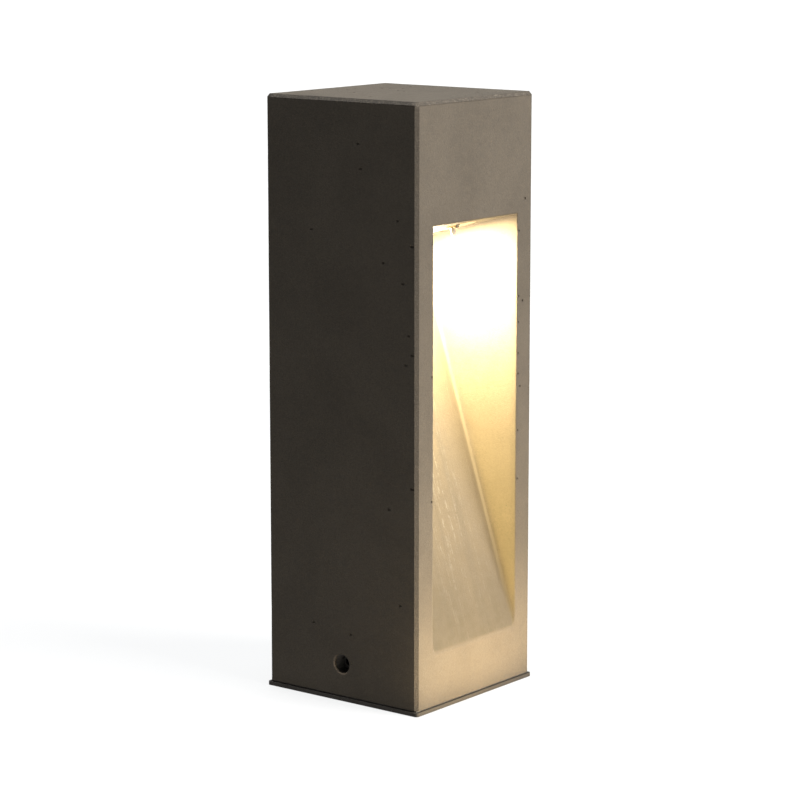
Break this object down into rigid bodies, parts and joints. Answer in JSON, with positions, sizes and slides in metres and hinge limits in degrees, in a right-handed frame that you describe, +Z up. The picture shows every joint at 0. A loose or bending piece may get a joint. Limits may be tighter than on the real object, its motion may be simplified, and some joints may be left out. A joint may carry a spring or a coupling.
{
  "type": "stone lantern",
  "caption": "Square cast-stone path lantern that stands on the ground, with a slanted window niche lit from a lamp in its tilted ceiling and a steel base that bolts down.",
  "frame": {"origin": "centre of the underside of the base plate, on the ground", "axes": "+Z up along the shaft, -Y out of the window, +X to the right for a viewer who faces the window"},
  "size_m": [0.128, 0.128, 0.4],
  "materials": {
    "black_screw": "black oxide",
    "block_plastic": "matt",
    "brass_screw": "satin",
    "capacitor_sleeve": "gloss",
    "cast_stone": "rough cast",
    "circuit_board": "satin",
    "clear_silicone": "matt",
    "conduit_plastic": "matt",
    "cover_glass": "clear",
    "dark_steel": "matt",
    "driver_plastic": "matt",
    "gasket_rubber": "matt",
    "gland_nylon": "matt",
    "grommet_rubber": "matt",
    "lamp_aluminium": "satin",
    "lead_rubber": "matt",
    "led_board": "gloss",
    "led_emitter": "lit, warm white",
    "plug_nylon": "matt",
    "reflector_metal": "bright",
    "spring_steel": "satin",
    "stainless_screw": "satin",
    "thermal_pad": "matt",
    "transformer_tape": "satin",
    "zinc_nut": "plated",
    "zinc_screw": "plated",
    "zinc_sheet": "galvanised",
    "zinc_steel": "galvanised",
    "zinc_washer": "plated"
  },
  "bodies": {
    "root": {"base_gasket": "gasket_rubber", "base_plate": "dark_steel", "block_screw": "zinc_screw", "bracket_nut_left": "zinc_nut", "bracket_nut_right": "zinc_nut", "bracket_screw_left": "zinc_screw", "bracket_screw_right": "zinc_screw", "cable_conduit": "conduit_plastic", "cable_grommet": "grommet_rubber", "capacitor": "capacitor_sleeve", "case_screw_lower": "zinc_screw", "case_screw_upper": "zinc_screw", "clamp_screw_1": "brass_screw", "clamp_screw_2": "brass_screw", "clamp_screw_3": "brass_screw", "clip_screw_front": "stainless_screw", "clip_screw_rear": "stainless_screw", "cover_glass": "cover_glass", "driver_board": "circuit_board", "driver_case": "driver_plastic", "driver_lid": "driver_plastic", "earth_screw": "brass_screw", "fixing_screw_left": "black_screw", "fixing_screw_right": "black_screw", "fixing_washer_left": "zinc_washer", "fixing_washer_right": "zinc_washer", "flange_screw_1": "stainless_screw", "flange_screw_2": "stainless_screw", "flange_screw_3": "stainless_screw", "flange_screw_4": "stainless_screw", "gear_tray": "zinc_sheet", "glass_seal": "clear_silicone", "lamp_gland": "gland_nylon", "lamp_housing": "lamp_aluminium", "lamp_lead": "lead_rubber", "led_board": "led_board", "led_emitter": "led_emitter", "led_screw_left": "stainless_screw", "led_screw_right": "stainless_screw", "lens_clip_front": "spring_steel", "lens_clip_rear": "spring_steel", "lid_screw_lower": "zinc_screw", "lid_screw_upper": "zinc_screw", "mounting_bracket": "zinc_steel", "reflector": "reflector_metal", "stone_body": "cast_stone", "terminal_block": "block_plastic", "thermal_pad": "thermal_pad", "transformer": "transformer_tape", "tray_nut_left": "zinc_nut", "tray_nut_right": "zinc_nut", "tray_screw_left": "zinc_screw", "tray_screw_right": "zinc_screw", "wall_plug_1": "plug_nylon", "wall_plug_2": "plug_nylon", "wall_plug_3": "plug_nylon", "wall_plug_4": "plug_nylon", "weld_nut_left": "zinc_nut", "weld_nut_right": "zinc_nut"}
  },
  "joints": []
}
